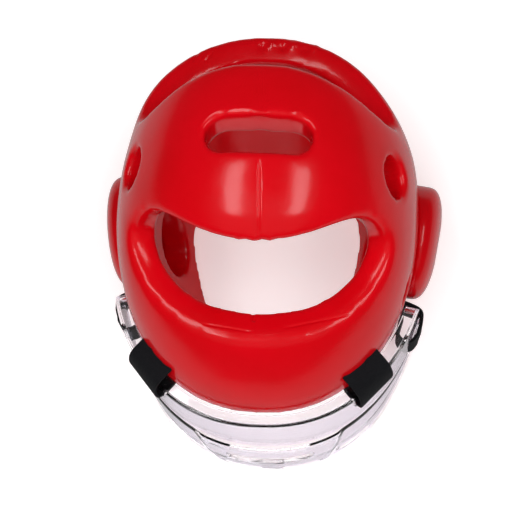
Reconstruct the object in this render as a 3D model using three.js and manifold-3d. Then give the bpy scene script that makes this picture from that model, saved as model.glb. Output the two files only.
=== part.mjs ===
import * as THREE from 'three';
import { mergeVertices } from 'three/addons/utils/BufferGeometryUtils.js';
import Module from 'manifold-3d';

const wasm = await Module();
wasm.setup();

// Head guard of dipped foam with a clear face mask, in millimetres, +Z up.
// It is worked out in the wearer's frame: the wearer looks along -Y, +X is the wearer's left,
// and zero lies midway between the ears. The finished group is then leaned back as it stands by itself.

// Foam shell, measured over its skin
const FOAM = 20;
const SHELL_HALF_WIDTH = 102;
const SHELL_FRONT = 134;
const SHELL_BACK = 123;
const SHELL_TOP = 150;
const PLAN_SQUARENESS = 2.2;

// Sections of the shell from the crown down, as shares of the sizes above
const SECTIONS = [
  { up: 1, wide: 0, front: 0, back: 0 },
  { up: 0.973, wide: 0.32, front: 0.24, back: 0.38 },
  { up: 0.9, wide: 0.56, front: 0.41, back: 0.63 },
  { up: 0.773, wide: 0.75, front: 0.565, back: 0.82 },
  { up: 0.627, wide: 0.88, front: 0.7, back: 0.93 },
  { up: 0.467, wide: 0.965, front: 0.845, back: 0.985 },
  { up: 0.3, wide: 1, front: 0.955, back: 1 },
  { up: 0.147, wide: 0.995, front: 1, back: 0.99 },
  { up: -0.033, wide: 0.955, front: 0.99, back: 0.945 },
  { up: -0.2, wide: 0.885, front: 0.92, back: 0.86 },
  { up: -0.367, wide: 0.79, front: 0.82, back: 0.76 },
  { up: -0.533, wide: 0.68, front: 0.72, back: 0.66 },
];

// How it stands: on the flange of the mask and on the nape, leaned back
const REST_TILT = THREE.MathUtils.degToRad(11.2);
const NAPE_DROP = 50;
const NAPE_REACH = 88;

// Lower edge of the shell, seen from the side
const BROW_HEIGHT = 20;
const CHEEK_FRONT = 60;
const CHEEK_CORNER = 28;
const CHEEK_DROP = 70;
const EAR_DROP = 30;
const NECK_DROP = 50;

// Top openings: angles seen from a point inside the crown, turn 0 in front and 180 behind
const OPENING_CENTRE = 60;
const TOP_OPENINGS = [
  { turn: 0, halfSpan: 67, low: 12.5, widest: 29, high: 51.5, lowPower: 4, highPower: 2.4 },
  { turn: 180, halfSpan: 63, low: 8, widest: 23, high: 52.5, lowPower: 3, highPower: 2 },
];

// Slot vent in the crown
const SLOT_LENGTH = 66;
const SLOT_WIDTH = 25;
const SLOT_BACK = 9;
const SLOT_LEAN = THREE.MathUtils.degToRad(8);

// Round vents in the sides
const CROWN_VENT_RADIUS = 14;
const CHEEK_VENT_RADIUS = 10.5;
const SIDE_VENTS = [
  { radius: CROWN_VENT_RADIUS, turn: 93, lift: 25.5 },
  { radius: CHEEK_VENT_RADIUS, turn: 63, lift: -13 },
];

// Ear openings, leaned back like the ears, and the guards over them
const EAR_BACK = 1;
const EAR_HEIGHT = -20;
const EAR_LEAN = THREE.MathUtils.degToRad(42);
const EAR_HOLE_LENGTH = 50;
const EAR_HOLE_WIDTH = 37;
const EAR_GUARD_SHIFT = 4;
const EAR_GUARD_RISE = 10;
const EAR_GUARD_LENGTH = 82;
const EAR_GUARD_HEIGHT = 76;
const EAR_GUARD_TOE_IN = THREE.MathUtils.degToRad(8);
const EAR_GUARD_PROUD = 17;
const EAR_GUARD_DOME = 14;
const EAR_GUARD_SQUARENESS = 2.6;
const EAR_GUARD_FOOT = 30;
const EAR_GUARD_WALL = 12;
const HEARING_HOLE = 18;

// Clear mask: lengths along its lip are measured round the forehead from its middle
const MASK_WALL = 2.6;
const MASK_GAP = 0.6;
const MASK_REACH = 143;
const MASK_STAND_OFF = 8.5;
const MASK_REAR_STAND_OFF = 10;
const MASK_LIP_HEIGHT = 20;
const MASK_REAR_LIP_HEIGHT = 14;
const MASK_CREASE_HEIGHT = -30;
const MASK_CREASE_STEP = 2.5;
const MASK_DRAFT = 1.5;
const MASK_BULGE = 1.2;
const MASK_FLANGE = 4;
const MASK_REAR_DROP = 46;
const MASK_FLAT_REACH = 70;
const MASK_SIDE_REACH = 115;
const MASK_SIDE_SPREAD = 0.15;

// Slots in the mask
const MOUTH_SLOT_LENGTH = 62;
const MOUTH_SLOT_HEIGHT = 12;
const MOUTH_SLOT_DROP = 54;
const LOWER_SLOT_COUNT = 4;
const LOWER_SLOT_LENGTH = 28;
const LOWER_SLOT_RIB = 10;
const LOWER_SLOT_HEIGHT = 10;
const LOWER_SLOT_LIFT = 14;

// Straps
const STRAP_THICKNESS = 2.2;
const STRAP_CLEARANCE = 0.3;
const FRONT_STRAP_WIDTH = 30;
const FRONT_STRAP_REACH = 78;
const FRONT_SLIT_HEIGHT = 40;
const FRONT_SLOT_HEIGHT = 6;
const SIDE_STRAP_WIDTH = 24;
const SIDE_STRAP_HEIGHT = -25;
const SIDE_SLOT_INSET = 21;
const SIDE_SLIT_GAP = 7;
const SIDE_SLOT_REACH = MASK_REACH - SIDE_SLOT_INSET;
const SIDE_SLIT_REACH = MASK_REACH + SIDE_SLIT_GAP;
const SLIT_DEPTH = 13;
const STRAP_SLOT_WIDTH = 5;

// A value between table rows, on a smooth curve through them
function between(before, start, end, after, share) {
  const bend = 2 * before - 5 * start + 4 * end - after;
  const twist = 3 * (start - end) + after - before;
  return 0.5 * (2 * start + share * (end - before + share * (bend + share * twist)));
}

function sectionAt(row) {
  const index = Math.min(Math.floor(row), SECTIONS.length - 2);
  const next = SECTIONS[index + 1];
  const mirrored = { up: next.up, wide: -next.wide, front: -next.front, back: -next.back };
  const before = index === 0 ? mirrored : SECTIONS[index - 1];
  const after = SECTIONS[Math.min(index + 2, SECTIONS.length - 1)];
  const blend = (name) => between(before[name], SECTIONS[index][name], next[name], after[name], row - index);
  return { up: blend('up'), wide: blend('wide'), front: blend('front'), back: blend('back') };
}

// Coordinates on a rounded square outline, rounder as the power nears 2
function squared(value, power) {
  return Math.sign(value) * Math.abs(value) ** (2 / power);
}

function skinPoint(row, turn) {
  const section = sectionAt(row);
  const along = squared(-Math.cos(turn), PLAN_SQUARENESS);
  const reach = along < 0 ? SHELL_FRONT * section.front : SHELL_BACK * section.back;
  const across = SHELL_HALF_WIDTH * section.wide * squared(Math.sin(turn), PLAN_SQUARENESS);
  return new THREE.Vector3(across, reach * along, SHELL_TOP * section.up);
}

// The skin moved inwards, or outwards where the depth is negative
function offsetPoint(row, turn, depth) {
  const step = 0.01;
  const point = skinPoint(row, turn);
  const down = skinPoint(row + step, turn).sub(skinPoint(row - step, turn));
  const round = skinPoint(row, turn + step).sub(skinPoint(row, turn - step));
  const normal = round.cross(down).normalize();
  return point.addScaledVector(normal, depth);
}

// A closed solid from rings of points, with a point that closes each end
function ringsToSolid(rings, start, end) {
  const size = rings[0].length;
  const points = [start, ...rings.flat(), end];
  const last = points.length - 1;
  const faces = [];
  for (let i = 0; i < size; i += 1) {
    const j = (i + 1) % size;
    faces.push(0, 1 + j, 1 + i);
    faces.push(last, last - size + i, last - size + j);
    for (let ring = 0; ring < rings.length - 1; ring += 1) {
      const here = 1 + ring * size;
      const below = here + size;
      faces.push(here + i, here + j, below + i, here + j, below + j, below + i);
    }
  }
  return facesToSolid(points, faces);
}

// Faces are turned round where they were listed inside out
function facesToSolid(points, faces) {
  let volume = 0;
  for (let i = 0; i < faces.length; i += 3) {
    const [a, b, c] = [points[faces[i]], points[faces[i + 1]], points[faces[i + 2]]];
    volume += a.dot(b.clone().cross(c));
  }
  const triVerts = Uint32Array.from(volume < 0 ? faces.toReversed() : faces);
  const vertProperties = Float32Array.from(points.flatMap((point) => point.toArray()));
  return new wasm.Manifold(new wasm.Mesh({ numProp: 3, vertProperties, triVerts }));
}

function geometryToSolid(geometry) {
  geometry.deleteAttribute('normal');
  geometry.deleteAttribute('uv');
  const merged = mergeVertices(geometry, 1e-4);
  const spots = merged.attributes.position;
  const points = Array.from({ length: spots.count }, (_, i) => new THREE.Vector3().fromBufferAttribute(spots, i));
  const faces = [];
  for (let i = 0; i < merged.index.count; i += 3) {
    const face = [merged.index.getX(i), merged.index.getX(i + 1), merged.index.getX(i + 2)];
    if (new Set(face).size === 3) faces.push(...face);
  }
  return facesToSolid(points, faces);
}

function solidToGeometry(solid) {
  const { vertProperties, triVerts } = solid.getMesh();
  const geometry = new THREE.BufferGeometry();
  geometry.setAttribute('position', new THREE.BufferAttribute(new Float32Array(vertProperties), 3));
  geometry.setIndex(new THREE.BufferAttribute(new Uint32Array(triVerts), 1));
  geometry.computeVertexNormals();
  return geometry;
}

// The egg shape of the shell at one depth below its skin
function egg(depth, ringCount, sides) {
  const rows = SECTIONS.length - 1;
  const rings = [];
  for (let i = 1; i <= ringCount; i += 1) {
    const row = (rows * i) / ringCount;
    const turns = Array.from({ length: sides }, (_, side) => (2 * Math.PI * side) / sides);
    rings.push(turns.map((turn) => offsetPoint(Math.min(row, rows - 0.01), turn, depth)));
  }
  const floor = rings.at(-1)[0].z;
  return ringsToSolid(rings, new THREE.Vector3(0, 0, SHELL_TOP - depth), new THREE.Vector3(0, 0, floor));
}

// Height of the surface that the guard stands on, in the wearer's frame
function standHeight(y) {
  return -NAPE_DROP - (NAPE_REACH - y) * Math.tan(REST_TILT);
}

// A direction out of the crown, turn 0 to the front, lift upwards
function outwards(turn, lift) {
  const [a, b] = [THREE.MathUtils.degToRad(turn), THREE.MathUtils.degToRad(lift)];
  return new THREE.Vector3(Math.sin(a) * Math.cos(b), -Math.cos(a) * Math.cos(b), Math.sin(b));
}

// A wedge that widens outwards and leaves an opening with a rounded outline
function openingCutter({ turn, halfSpan, low, widest, high, lowPower, highPower }) {
  const centre = new THREE.Vector3(0, 0, OPENING_CENTRE);
  const steps = 52;
  const directions = [];
  for (let i = 0; i < steps; i += 1) {
    const angle = (2 * Math.PI * i) / steps;
    const power = Math.sin(angle) < 0 ? lowPower : highPower;
    const rise = squared(Math.sin(angle), power);
    const lift = widest + rise * (rise < 0 ? widest - low : high - widest);
    directions.push(outwards(turn + halfSpan * squared(Math.cos(angle), power), lift));
  }
  const ring = (reach) => directions.map((way) => centre.clone().addScaledVector(way, reach));
  const middle = (reach) => centre.clone().addScaledVector(outwards(turn, widest), reach);
  const near = FOAM;
  const far = 2 * SHELL_FRONT;
  return ringsToSolid([ring(near), ring(far)], middle(near), middle(far));
}

function slotOutline(length, width) {
  const radius = width / 2;
  const half = length / 2 - radius;
  const shape = new THREE.Shape();
  shape.absarc(half, 0, radius, -Math.PI / 2, Math.PI / 2);
  shape.absarc(-half, 0, radius, Math.PI / 2, (3 * Math.PI) / 2);
  return shape;
}

function extrude(shape, depth, curveSegments) {
  const geometry = new THREE.ExtrudeGeometry(shape, { depth, bevelEnabled: false, curveSegments });
  return geometry.translate(0, 0, -depth / 2);
}

function slotVentCutter() {
  const geometry = extrude(slotOutline(SLOT_LENGTH, SLOT_WIDTH), 4 * FOAM, 10);
  geometry.rotateX(-SLOT_LEAN);
  return geometryToSolid(geometry.translate(0, SLOT_BACK, SHELL_TOP));
}

function ventCutter(side, { radius, turn, lift }) {
  const reach = 2 * SHELL_HALF_WIDTH;
  const way = outwards(side * turn, lift);
  const geometry = new THREE.CylinderGeometry(radius, radius, reach, 20);
  geometry.translate(0, reach / 2 + FOAM, 0);
  geometry.applyQuaternion(new THREE.Quaternion().setFromUnitVectors(new THREE.Vector3(0, 1, 0), way));
  return geometryToSolid(geometry.translate(0, 0, OPENING_CENTRE));
}

// An oval turned about a sideways axis, from rows of radius and distance from the midline
function turnedSideways(side, rows, stretch) {
  const points = rows.map(([radius, reach]) => new THREE.Vector2(radius, reach));
  const geometry = new THREE.LatheGeometry(points, 28);
  return geometry.rotateZ(-Math.PI / 2).scale(side, 1, stretch);
}

// A straight oval bar through the ear opening, leaned with it
function earBar(side, near, far) {
  const radius = EAR_HOLE_WIDTH / 2;
  const rows = [[0, near], [radius, near], [radius, far], [0, far]];
  const geometry = turnedSideways(side, rows, EAR_HOLE_LENGTH / EAR_HOLE_WIDTH).rotateX(-EAR_LEAN);
  return geometryToSolid(geometry.translate(0, EAR_BACK, EAR_HEIGHT));
}

// A solid on the axis of the ear guard, its front end turned in towards the cheek
function onGuardAxis(side, rows, stretch) {
  const pivot = side * SHELL_HALF_WIDTH;
  const geometry = turnedSideways(side, rows, stretch);
  geometry.translate(-pivot, 0, 0).rotateZ(-side * EAR_GUARD_TOE_IN);
  geometry.translate(pivot, EAR_BACK + EAR_GUARD_SHIFT, EAR_HEIGHT + EAR_GUARD_RISE);
  return geometryToSolid(geometry);
}

// The face and the neck: all that lies in front of the cheeks and below the lower edge
function lowerEdgeCutter() {
  const outer = 2 * SHELL_FRONT;
  const heel = NAPE_REACH - FOAM;
  const shape = new THREE.Shape();
  shape.moveTo(-outer, BROW_HEIGHT);
  shape.lineTo(-CHEEK_FRONT - CHEEK_CORNER, BROW_HEIGHT);
  shape.absarc(
    -CHEEK_FRONT - CHEEK_CORNER, BROW_HEIGHT - CHEEK_CORNER, CHEEK_CORNER, Math.PI / 2, 0, true,
  );
  shape.lineTo(-CHEEK_FRONT, -CHEEK_DROP + CHEEK_CORNER / 2);
  shape.quadraticCurveTo(-CHEEK_FRONT, -CHEEK_DROP, -CHEEK_FRONT + CHEEK_CORNER / 2, -CHEEK_DROP);
  shape.bezierCurveTo(
    -FOAM / 2, -CHEEK_DROP, FOAM, -EAR_DROP, heel - FOAM, -NECK_DROP,
  );
  shape.quadraticCurveTo(heel - FOAM / 4, -NECK_DROP, heel, standHeight(heel));
  shape.lineTo(outer, standHeight(outer));
  shape.lineTo(outer, -outer);
  shape.lineTo(-outer, -outer);
  const geometry = extrude(shape, 4 * SHELL_HALF_WIDTH, 10);
  geometry.rotateX(Math.PI / 2);
  geometry.rotateZ(Math.PI / 2);
  return geometryToSolid(geometry);
}

// Row of the sections at one height
function rowAt(height) {
  let [low, high] = [0, SECTIONS.length - 1];
  while (high - low > 1e-6) {
    const middle = (low + high) / 2;
    if (SHELL_TOP * sectionAt(middle).up > height) low = middle;
    else high = middle;
  }
  return low;
}

// The skin's outline at the brow, with the length along it from the middle of the forehead
const BROW_ROW = rowAt(BROW_HEIGHT);
const BROW_STEPS = 360;
const browCurve = [{ turn: 0, arc: 0 }];
for (let i = 1; i <= BROW_STEPS; i += 1) {
  const turn = (Math.PI * i) / BROW_STEPS;
  const last = browCurve.at(-1);
  const step = skinPoint(BROW_ROW, turn).distanceTo(skinPoint(BROW_ROW, last.turn));
  browCurve.push({ turn, arc: last.arc + step });
}

// Place and outward direction at a length round the brow, negative to the wearer's right
function browFrame(arc) {
  const reach = Math.abs(arc);
  const index = browCurve.findIndex((entry) => entry.arc > reach);
  const [start, end] = [browCurve[index - 1], browCurve[index]];
  const share = (reach - start.arc) / (end.arc - start.arc);
  const turn = Math.sign(arc) * (start.turn + share * (end.turn - start.turn));
  const step = 0.02;
  const along = skinPoint(BROW_ROW, turn + step).sub(skinPoint(BROW_ROW, turn - step)).normalize();
  const point = skinPoint(BROW_ROW, turn).setZ(0);
  return { point, along, out: new THREE.Vector3(along.y, -along.x, 0) };
}

function browPoint(arc, offset, height) {
  const { point, out } = browFrame(arc);
  return point.addScaledVector(out, offset).setZ(height);
}

function maskStandOff(arc) {
  const share = THREE.MathUtils.smoothstep(Math.abs(arc), 0, MASK_REACH);
  return THREE.MathUtils.lerp(MASK_STAND_OFF, MASK_REAR_STAND_OFF, share);
}

// How far the lower wall and the flange stand out, all of it in front and little at the sides
function maskSpread(arc) {
  const share = THREE.MathUtils.smoothstep(Math.abs(arc), 0, MASK_SIDE_REACH);
  return THREE.MathUtils.lerp(1, MASK_SIDE_SPREAD, share);
}

// One upright section of the mask's wall, from the lip down the outside and up the inside
function maskSection(arc) {
  const rise = THREE.MathUtils.smoothstep(Math.abs(arc), MASK_FLAT_REACH, MASK_REACH);
  const base = (offset) => {
    const stand = standHeight(browPoint(arc, offset, 0).y);
    return THREE.MathUtils.lerp(stand, -MASK_REAR_DROP, rise);
  };
  const top = THREE.MathUtils.lerp(MASK_LIP_HEIGHT, MASK_REAR_LIP_HEIGHT, rise);
  const spread = maskSpread(arc);
  const wall = maskStandOff(arc);
  const fold = wall + MASK_DRAFT * spread;
  const foot = fold + MASK_CREASE_STEP * spread;
  const flange = foot + MASK_FLANGE * spread;
  const half = MASK_CREASE_STEP / 2;
  const middle = (MASK_CREASE_HEIGHT + base(foot)) / 2;
  return [
    [MASK_GAP, top],
    [wall - MASK_WALL / 2, top],
    [wall, top - MASK_WALL / 2],
    [fold, MASK_CREASE_HEIGHT + half],
    [foot, MASK_CREASE_HEIGHT - half],
    [foot + MASK_BULGE, middle],
    [foot, base(foot) + 2 * MASK_WALL],
    [flange, base(flange) + MASK_WALL],
    [flange, base(flange)],
    [foot - MASK_WALL, base(foot - MASK_WALL)],
    [foot + MASK_BULGE - MASK_WALL, middle],
    [foot - MASK_WALL, MASK_CREASE_HEIGHT - half],
    [fold - MASK_WALL, MASK_CREASE_HEIGHT + half],
    [wall - MASK_WALL, top - 1.5 * MASK_WALL],
    [MASK_GAP, top - MASK_WALL],
  ];
}

// The mask's wall, swept round the face from one rear end to the other
function maskWall() {
  const steps = 48;
  const points = [];
  for (let i = 0; i <= steps; i += 1) {
    const arc = MASK_REACH * ((2 * i) / steps - 1);
    points.push(...maskSection(arc).map(([offset, height]) => browPoint(arc, offset, height)));
  }
  const outline = maskSection(MASK_REACH).map(([offset, height]) => new THREE.Vector2(offset, height));
  const size = outline.length;
  const caps = THREE.ShapeUtils.triangulateShape(outline, []);
  const end = steps * size;
  const faces = caps.flatMap(([a, b, c]) => [a, c, b, end + a, end + b, end + c]);
  for (let i = 0; i < steps; i += 1) {
    for (let j = 0; j < size; j += 1) {
      const next = (j + 1) % size;
      const [a, b] = [i * size + j, i * size + next];
      faces.push(a, a + size, b, b, a + size, b + size);
    }
  }
  return facesToSolid(points, faces);
}

// A cutter or strap placed on the brow's outline: its depth outwards, its height up, its width along
function placeOnBrow(geometry, arc) {
  const { point, along, out } = browFrame(arc);
  const up = new THREE.Vector3(0, 0, 1);
  const turned = new THREE.Matrix4().makeBasis(along, up, out.clone());
  return geometry.applyMatrix4(turned.setPosition(point));
}

function slotCutter(arc, length, height, level) {
  const outline = slotOutline(Math.max(length, height), Math.min(length, height));
  const geometry = extrude(outline, 4 * MASK_STAND_OFF, 4);
  if (height > length) geometry.rotateZ(Math.PI / 2);
  return geometryToSolid(placeOnBrow(geometry.translate(0, level, 0), arc));
}

// A strap's outline from the middle line of its thickness, both ends square
function ribbon(path, thickness, extra) {
  const curve = new THREE.SplineCurve(path.map(([x, y]) => new THREE.Vector2(x, y)));
  const steps = 20;
  const sides = [[], []];
  for (let i = 0; i <= steps; i += 1) {
    const point = curve.getPointAt(i / steps);
    const ahead = curve.getTangentAt(i / steps);
    const push = i === 0 ? -extra : i === steps ? extra : 0;
    point.addScaledVector(ahead, push);
    const across = new THREE.Vector2(-ahead.y, ahead.x).multiplyScalar(thickness / 2);
    sides[0].push(point.clone().add(across));
    sides[1].unshift(point.clone().sub(across));
  }
  return new THREE.Shape(sides.flat());
}

// From the slit in the forehead band, over the mask's lip, in through its slot and up behind it
function frontStrap(side, grow) {
  const arc = side * FRONT_STRAP_REACH;
  const wall = maskStandOff(arc);
  const outside = wall + MASK_DRAFT + STRAP_CLEARANCE + STRAP_THICKNESS / 2;
  const turn = STRAP_SLOT_WIDTH / 2;
  const path = [
    [-SLIT_DEPTH, FRONT_SLIT_HEIGHT],
    [-SLIT_DEPTH / 2, FRONT_SLIT_HEIGHT],
    [0, FRONT_SLIT_HEIGHT - STRAP_THICKNESS],
    [outside * 0.7, (FRONT_SLIT_HEIGHT + MASK_LIP_HEIGHT) / 2 + STRAP_THICKNESS],
    [outside, MASK_LIP_HEIGHT + STRAP_THICKNESS],
    [outside, FRONT_SLOT_HEIGHT + 2 * turn],
    [outside - turn, FRONT_SLOT_HEIGHT],
    [wall - MASK_WALL - turn, FRONT_SLOT_HEIGHT],
    [-STRAP_THICKNESS, FRONT_SLOT_HEIGHT + 2 * turn],
    [-STRAP_THICKNESS - MASK_GAP, MASK_LIP_HEIGHT - 2 * STRAP_CLEARANCE],
  ];
  const shape = ribbon(path, STRAP_THICKNESS + 2 * grow, grow);
  const geometry = extrude(shape, FRONT_STRAP_WIDTH + 2 * grow, 1);
  const { point, along, out } = browFrame(arc);
  const up = new THREE.Vector3(0, 0, 1);
  geometry.applyMatrix4(new THREE.Matrix4().makeBasis(out, up, along.negate()).setPosition(point));
  return geometryToSolid(geometry);
}

// From the slit in the cheek, forwards over the mask's rear edge, in through its slot and back inside
function sideStrap(side, grow) {
  const wall = maskStandOff(SIDE_SLOT_REACH);
  const outside = wall + MASK_DRAFT + STRAP_CLEARANCE + STRAP_THICKNESS / 2;
  const inside = -STRAP_THICKNESS / 2;
  const turn = (outside - inside) / 2;
  const route = [
    [SIDE_SLIT_REACH, -SLIT_DEPTH - turn],
    [SIDE_SLIT_REACH, -SLIT_DEPTH / 2 - turn],
    [SIDE_SLIT_REACH, -turn],
    [SIDE_SLIT_REACH - turn / 2, outside - turn / 2],
    [MASK_REACH - turn / 2, outside],
    [(MASK_REACH + SIDE_SLOT_REACH) / 2, outside],
    [SIDE_SLOT_REACH + turn, outside],
    [SIDE_SLOT_REACH + turn * 0.3, outside - turn * 0.3],
    [SIDE_SLOT_REACH, outside - turn],
    [SIDE_SLOT_REACH + turn * 0.3, inside + turn * 0.3],
    [SIDE_SLOT_REACH + turn, inside],
    [SIDE_SLOT_REACH + 3 * turn, inside - STRAP_CLEARANCE],
  ];
  const path = route.map(([arc, offset]) => browPoint(side * arc, offset, 0)).map(({ x, y }) => [x, y]);
  const shape = ribbon(path, STRAP_THICKNESS + 2 * grow, grow);
  const geometry = extrude(shape, SIDE_STRAP_WIDTH + 2 * grow, 1);
  return geometryToSolid(geometry.translate(0, 0, SIDE_STRAP_HEIGHT));
}

function cutAll(solid, cutters) {
  return cutters.reduce((left, cutter) => left.subtract(cutter), solid);
}

const SIDES = { left: 1, right: -1 };
const bothSides = (make) => Object.values(SIDES).map(make);
const strapChannels = bothSides((side) => [
  frontStrap(side, STRAP_CLEARANCE),
  sideStrap(side, STRAP_CLEARANCE),
]).flat();

function headShell() {
  const inside = SHELL_HALF_WIDTH - 2 * FOAM;
  const far = 2 * SHELL_HALF_WIDTH;
  return cutAll(egg(0, 20, 48), [
    egg(FOAM, 16, 40),
    ...TOP_OPENINGS.map(openingCutter),
    slotVentCutter(),
    ...bothSides((side) => SIDE_VENTS.map((vent) => ventCutter(side, vent))).flat(),
    ...bothSides((side) => earBar(side, inside, far)),
    lowerEdgeCutter(),
    ...strapChannels,
  ]);
}

function earGuard(side) {
  const radius = EAR_GUARD_LENGTH / 2;
  const face = SHELL_HALF_WIDTH + EAR_GUARD_PROUD;
  const foot = face - EAR_GUARD_FOOT;
  const rows = [[0, foot], [radius, foot]];
  const steps = 6;
  for (let i = 0; i < steps; i += 1) {
    const angle = (Math.PI * i) / (2 * steps);
    const out = squared(Math.cos(angle), EAR_GUARD_SQUARENESS);
    const rise = squared(Math.sin(angle), EAR_GUARD_SQUARENESS);
    rows.push([radius * out, face - EAR_GUARD_DOME * (1 - rise)]);
  }
  rows.push([0, face]);
  const hearing = HEARING_HOLE / 2;
  const outside = face + FOAM;
  return cutAll(onGuardAxis(side, rows, EAR_GUARD_HEIGHT / EAR_GUARD_LENGTH), [
    egg(-STRAP_CLEARANCE, 20, 48),
    earBar(side, foot - FOAM, face - EAR_GUARD_WALL),
    onGuardAxis(side, [[0, foot], [hearing, foot], [hearing, outside], [0, outside]], 1),
    ...strapChannels,
  ]);
}

function faceMask() {
  const pitch = LOWER_SLOT_LENGTH + LOWER_SLOT_RIB;
  const cutters = [slotCutter(0, MOUTH_SLOT_LENGTH, MOUTH_SLOT_HEIGHT, -MOUTH_SLOT_DROP)];
  for (let i = 0; i < LOWER_SLOT_COUNT; i += 1) {
    const arc = pitch * (i - (LOWER_SLOT_COUNT - 1) / 2);
    const level = standHeight(browPoint(arc, MASK_STAND_OFF, 0).y) + LOWER_SLOT_LIFT;
    cutters.push(slotCutter(arc, LOWER_SLOT_LENGTH, LOWER_SLOT_HEIGHT, level));
  }
  const slack = STRAP_THICKNESS + STRAP_CLEARANCE;
  for (const side of Object.values(SIDES)) {
    const front = side * FRONT_STRAP_REACH;
    cutters.push(slotCutter(front, FRONT_STRAP_WIDTH + slack, STRAP_SLOT_WIDTH, FRONT_SLOT_HEIGHT));
    const rear = side * SIDE_SLOT_REACH;
    cutters.push(slotCutter(rear, STRAP_SLOT_WIDTH, SIDE_STRAP_WIDTH + slack, SIDE_STRAP_HEIGHT));
  }
  return cutAll(maskWall(), [...cutters, ...strapChannels]);
}

const redFoam = { color: 0xc4000f, roughness: 0.32, metalness: 0 };
const clearPlastic = { color: 0xe6e2f0, roughness: 0.1, metalness: 0, transparent: true, opacity: 0.4 };
const blackStrap = { color: 0x0d0d0f, roughness: 0.9, metalness: 0 };

const guard = new THREE.Group();
function addPiece(name, solid, finish) {
  const mesh = new THREE.Mesh(solidToGeometry(solid), new THREE.MeshStandardMaterial(finish));
  mesh.name = name;
  guard.add(mesh);
}

addPiece('head_shell', headShell(), redFoam);
addPiece('face_mask', faceMask(), clearPlastic);
for (const [name, side] of Object.entries(SIDES)) {
  addPiece(`ear_guard_${name}`, earGuard(side), redFoam);
  addPiece(`strap_front_${name}`, frontStrap(side, 0), blackStrap);
  addPiece(`strap_side_${name}`, sideStrap(side, 0), blackStrap);
}

// Leaned back to stand on the mask and the nape, over the middle of its outline
guard.rotation.x = -REST_TILT;
const outline = new THREE.Box3().setFromObject(guard, true);
const middle = outline.getCenter(new THREE.Vector3());
guard.position.set(-middle.x, -middle.y, -outline.min.z);

export default guard;
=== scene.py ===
import math

import bpy
import numpy as np
from mathutils import Matrix, Vector
from mathutils.bvhtree import BVHTree


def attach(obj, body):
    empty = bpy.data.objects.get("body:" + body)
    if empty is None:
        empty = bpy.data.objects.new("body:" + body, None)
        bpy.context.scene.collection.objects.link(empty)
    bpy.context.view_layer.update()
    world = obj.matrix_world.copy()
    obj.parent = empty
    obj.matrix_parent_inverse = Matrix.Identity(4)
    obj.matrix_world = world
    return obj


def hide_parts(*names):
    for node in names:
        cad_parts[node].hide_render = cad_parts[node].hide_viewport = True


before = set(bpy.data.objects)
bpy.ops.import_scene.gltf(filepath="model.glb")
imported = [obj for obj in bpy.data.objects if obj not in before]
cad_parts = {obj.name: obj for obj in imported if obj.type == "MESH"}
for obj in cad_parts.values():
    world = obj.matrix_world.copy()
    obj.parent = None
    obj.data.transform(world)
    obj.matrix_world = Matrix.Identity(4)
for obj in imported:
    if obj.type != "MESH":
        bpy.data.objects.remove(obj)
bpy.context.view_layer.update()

# The view: from over the crown, a little in front of it and to the wearer's left, square on to the forehead.
# The guard leans back as it stands, so places on it are worked out as it is worn, zero midway between
# the ears.
REST_TILT = math.radians(11.2)
BETWEEN_EARS = Vector((0.0, 0.01711, 0.06614))
worn_to_rest = Matrix.Translation(BETWEEN_EARS) @ Matrix.Rotation(-REST_TILT, 4, "X")
rest_to_worn = worn_to_rest.inverted()

VIEW_HEIGHT = math.radians(68)
VIEW_LEAN = math.radians(4.5)
VIEW_ROLL = math.radians(2.2)
VIEW_DISTANCE = 0.9
VIEW_LENS = 87.2
AIM_RIGHT, AIM_UP = -0.0082, -0.0157
VIEW_PIXELS = 520

towards_eye = Vector((math.tan(VIEW_LEAN), -math.cos(VIEW_HEIGHT), math.sin(VIEW_HEIGHT))).normalized()
eye = towards_eye * VIEW_DISTANCE
level_up = Vector((0, math.sin(VIEW_HEIGHT), math.cos(VIEW_HEIGHT)))
level_up = (level_up - towards_eye * level_up.dot(towards_eye)).normalized()
level_right = level_up.cross(towards_eye)
view_right = level_right * math.cos(VIEW_ROLL) + level_up * math.sin(VIEW_ROLL)
view_up = level_up * math.cos(VIEW_ROLL) - level_right * math.sin(VIEW_ROLL)
aim = view_right * AIM_RIGHT + view_up * AIM_UP
back = (eye - aim).normalized()
right = view_up.cross(back).normalized()
up = back.cross(right)
turn = Matrix((right, up, back)).transposed().to_4x4()
lens = bpy.data.cameras.new("view")
lens.lens = VIEW_LENS
lens.clip_start, lens.clip_end = 0.01, 10
camera = bpy.data.objects.new("view", lens)
camera.matrix_world = worn_to_rest @ Matrix.Translation(eye) @ turn
bpy.context.collection.objects.link(camera)
bpy.context.scene.camera = camera


# The head shell: one piece of soft foam about 20 mm thick, dipped in glossy red skin, open over the crown,
# behind it and round the face. The dipping rounds every rim and leaves a thin seam down the middle.
FOAM = 0.020
HALF_WIDTH, FRONT, BACK, TOP = 0.102, 0.134, 0.123, 0.150
PLAN_POWER = 2.2
SECTIONS = np.array([
    (1, 0, 0, 0), (0.973, 0.32, 0.24, 0.38), (0.9, 0.56, 0.41, 0.63), (0.773, 0.75, 0.565, 0.82),
    (0.627, 0.88, 0.7, 0.93), (0.467, 0.965, 0.845, 0.985), (0.3, 1, 0.955, 1), (0.147, 0.995, 1, 0.99),
    (-0.033, 0.955, 0.99, 0.945), (-0.2, 0.885, 0.92, 0.86), (-0.367, 0.79, 0.82, 0.76),
    (-0.533, 0.68, 0.72, 0.66),
])
SHELL_GRAIN = 0.0016
SHELL_ROUNDING = 14
SHELL_POLISH = 9
SKIN_NEAR, SKIN_FAR = 0.0007, 0.0016
OPENING_CENTRE = np.array((0, 0, 0.060))
FRONT_OPENING = {"turn": 0, "span": 67, "low": 12.5, "widest": 29, "high": 51.5, "powers": (4, 2.4)}
REAR_OPENING = {"turn": 180, "span": 63, "low": 8, "widest": 23, "high": 52.5, "powers": (3, 2)}
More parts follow.
